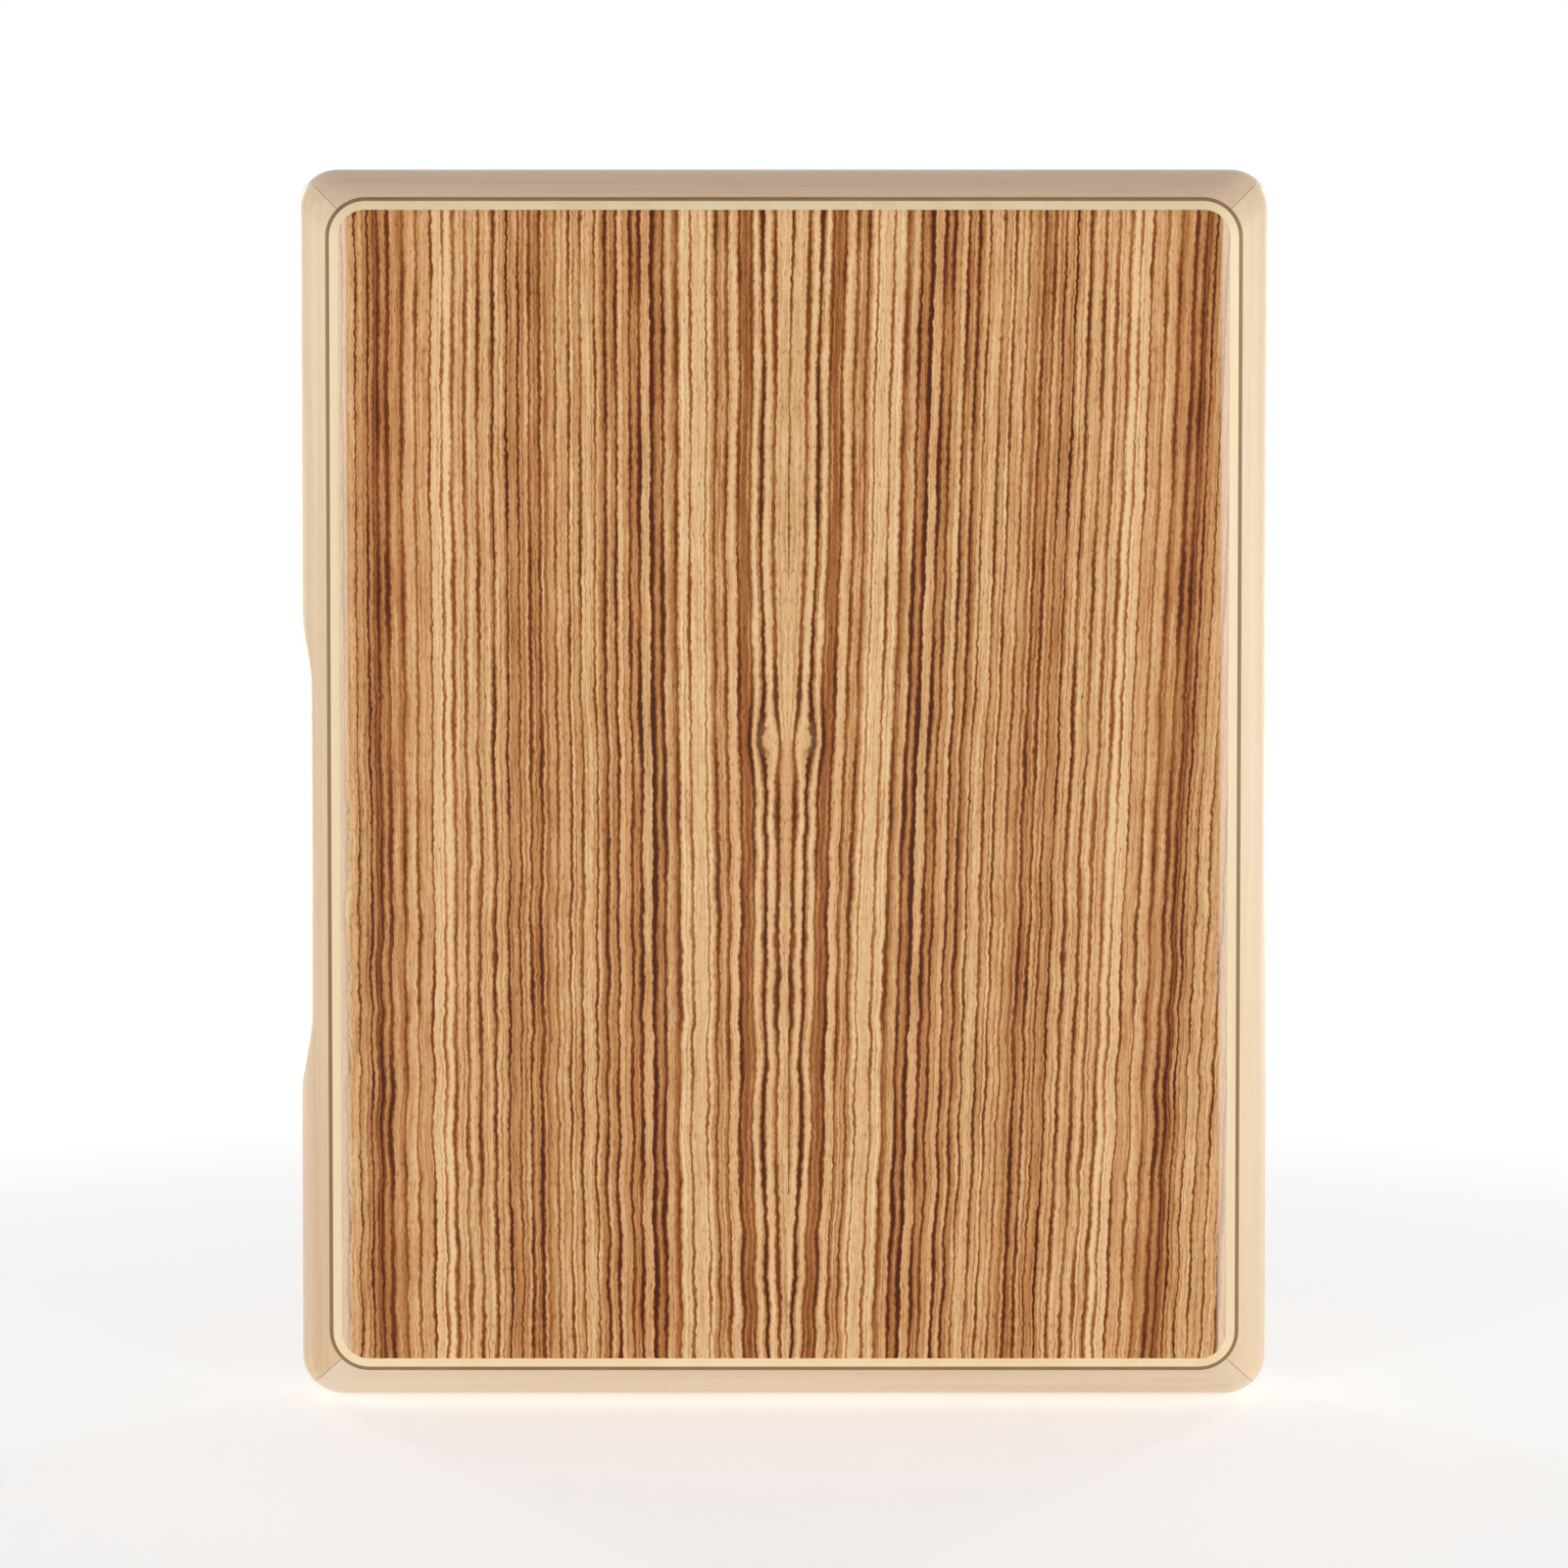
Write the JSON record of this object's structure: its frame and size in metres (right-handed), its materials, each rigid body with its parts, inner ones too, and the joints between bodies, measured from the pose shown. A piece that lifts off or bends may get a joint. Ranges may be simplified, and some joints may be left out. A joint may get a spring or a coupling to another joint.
{
  "type": "travel cajon",
  "caption": "Flat hand-held box drum with a crowned, mitred wooden rim, striped veneer faces, a slotted sound port in one side rail and adjustable snare strings behind the playing face.",
  "frame": {"origin": "centre of the flat back face, at half the height and half the width", "axes": "+Z towards the top rail, +Y out of the back, so the playing face looks along -Y, and +X towards the plain side rail, with the sound port on the -X side"},
  "size_m": [0.245, 0.042, 0.31],
  "materials": {
    "rim": "pale maple-like solid wood under satin clear lacquer",
    "zebrano": "book-matched zebrano veneer under satin clear lacquer",
    "core": "pale birch ply with a rounded, lacquered edge",
    "purfling": "dark dyed wood fibre line under lacquer",
    "block": "unfinished sawn softwood",
    "steel": "bright zinc-plated steel",
    "brass": "plain turned brass"
  },
  "bodies": {
    "root": {"top_rail": "rim", "bottom_rail": "rim", "port_side_rail": "rim", "plain_side_rail": "rim", "corner_block_top_port_side": "block", "corner_block_top_plain_side": "block", "corner_block_bottom_port_side": "block", "corner_block_bottom_plain_side": "block", "front_purfling": "purfling", "tapa_core": "core", "tapa_veneer_left": "zebrano", "tapa_veneer_right": "zebrano", "back_purfling": "purfling", "back_core": "core", "back_veneer_left": "zebrano", "back_veneer_right": "zebrano", "left_anchor_block": "block", "left_anchor_plate": "steel", "left_anchor_screw_1": "steel", "left_anchor_screw_2": "steel", "left_snare_string_1": "steel", "left_snare_string_2": "steel", "left_snare_string_3": "steel", "left_foot_block": "block", "left_threaded_insert": "brass", "right_anchor_block": "block", "right_anchor_plate": "steel", "right_anchor_screw_1": "steel", "right_anchor_screw_2": "steel", "right_snare_string_1": "steel", "right_snare_string_2": "steel", "right_snare_string_3": "steel", "right_foot_block": "block", "right_threaded_insert": "brass"},
    "left_bar": {"left_tension_bar": "steel"},
    "left_screw": {"left_tension_screw": "steel"},
    "right_bar": {"right_tension_bar": "steel"},
    "right_screw": {"right_tension_screw": "steel"}
  },
  "joints": [
    {"name": "left_bar_travel", "type": "slide", "parent": "root", "child": "left_bar", "axis": [0, 0, 1], "range_m": [-0.0014, 0.0014], "deforming": ["left_snare_string_1", "left_snare_string_2", "left_snare_string_3"]},
    {"name": "left_screw_turn", "type": "hinge", "parent": "left_bar", "child": "left_screw", "pos_m": [-0.048, -0.03125, -0.107], "axis": [0, 0, 1], "range_deg": [-720, 720]},
    {"name": "right_bar_travel", "type": "slide", "parent": "root", "child": "right_bar", "axis": [0, 0, 1], "range_m": [-0.0014, 0.0014], "deforming": ["right_snare_string_1", "right_snare_string_2", "right_snare_string_3"]},
    {"name": "right_screw_turn", "type": "hinge", "parent": "right_bar", "child": "right_screw", "pos_m": [0.048, -0.03125, -0.107], "axis": [0, 0, 1], "range_deg": [-720, 720]}
  ],
  "couplings": [
    {"joint": "left_screw_turn", "follows": "left_bar_travel", "rad_per_m": 8976},
    {"joint": "right_screw_turn", "follows": "right_bar_travel", "rad_per_m": 8976}
  ]
}
